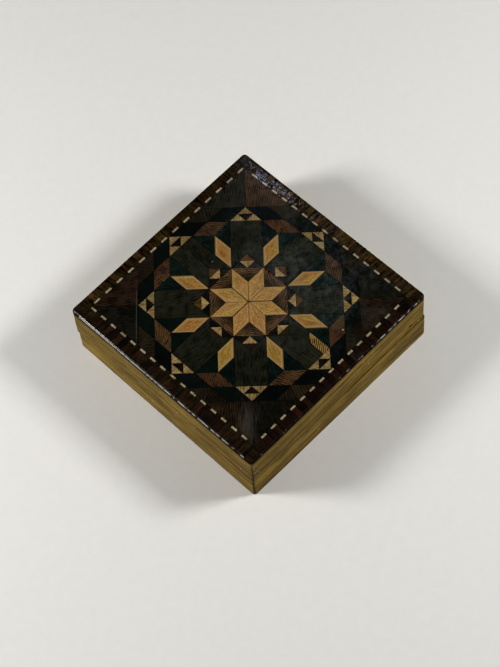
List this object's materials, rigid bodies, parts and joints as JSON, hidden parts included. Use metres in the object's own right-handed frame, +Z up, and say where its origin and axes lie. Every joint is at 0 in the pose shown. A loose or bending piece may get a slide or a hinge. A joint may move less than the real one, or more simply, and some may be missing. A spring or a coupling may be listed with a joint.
{
  "type": "wooden puzzle box",
  "caption": "Small square wooden trick box with a star parquetry lid that turns on a hidden corner pivot and is held by a hidden drop pin.",
  "frame": {"origin": "middle of the base's underside", "axes": "+X along the front from the pivot corner to the lock corner, +Y along the left side, +Z up"},
  "size_m": [0.0766, 0.0766, 0.023],
  "materials": {
    "wall_wood": "plain hardwood, thin old varnish",
    "board_wood": "bare thin board",
    "block_wood": "bare sawn block",
    "brass": "dull turned brass",
    "iron": "darkened iron wire",
    "light_wood": "pale close-grained wood under aged lacquer",
    "golden_wood": "golden wood under aged lacquer",
    "rosewood": "figured brown wood under aged lacquer",
    "olive_wood": "dark olive wood under aged lacquer",
    "red_wood": "dark reddish wood under aged lacquer",
    "teal_wood": "dark dyed wood under aged lacquer",
    "black_wood": "black dyed wood under aged lacquer",
    "umber_wood": "dark brown wood under aged lacquer",
    "white_wood": "near-white stringing",
    "border_wood": "brown blocks under aged lacquer",
    "striped_wood": "striped wood under aged lacquer"
  },
  "bodies": {
    "base": {"base_wall_front": "wall_wood", "base_wall_right": "wall_wood", "base_wall_back": "wall_wood", "base_wall_left": "wall_wood", "base_bottom": "board_wood", "base_glue_blocks": "block_wood", "keeper_block": "block_wood", "base_pivot_block": "block_wood", "pivot_screw": "brass", "pivot_washer": "brass", "stop_pin": "brass"},
    "lid": {"lid_wall_front": "wall_wood", "lid_wall_right": "wall_wood", "lid_wall_back": "wall_wood", "lid_wall_left": "wall_wood", "lid_board": "board_wood", "lid_glue_blocks": "block_wood", "lid_pivot_block": "block_wood", "lid_lock_block": "block_wood", "lock_block_brad": "iron", "star_points": "light_wood", "star_notches": "rosewood", "outer_points": "golden_wood", "small_square_light": "light_wood", "small_square_brown": "rosewood", "square_flanks": "black_wood", "panels": "olive_wood", "panel_patch": "striped_wood", "flank_triangles": "teal_wood", "edge_triangles_light": "light_wood", "edge_triangles_dark": "black_wood", "ring_rhombi": "rosewood", "dark_rhombi": "black_wood", "gap_rhombi": "umber_wood", "corner_triangles_red": "red_wood", "corner_triangles_olive": "olive_wood", "border_corners": "border_wood", "stringing_front_light": "white_wood", "stringing_front_black": "black_wood", "border_front_brown": "border_wood", "border_front_black": "black_wood", "stringing_right_light": "white_wood", "stringing_right_black": "black_wood", "border_right_brown": "border_wood", "border_right_black": "black_wood", "stringing_back_light": "white_wood", "stringing_back_black": "black_wood", "border_back_brown": "border_wood", "border_back_black": "black_wood", "stringing_left_light": "white_wood", "stringing_left_black": "black_wood", "border_left_brown": "border_wood", "border_left_black": "black_wood"},
    "lock_pin": {"lock_pin": "brass"}
  },
  "joints": [
    {"name": "lid_swivel", "type": "hinge", "parent": "base", "child": "lid", "pos_m": [-0.0285, -0.0285, 0.01012], "axis": [0, 0, 1], "range_deg": [-0.45, 119.55]},
    {"name": "lock_drop", "type": "slide", "parent": "lid", "child": "lock_pin", "axis": [0, 0, -1], "range_m": [0, 0.004]}
  ]
}
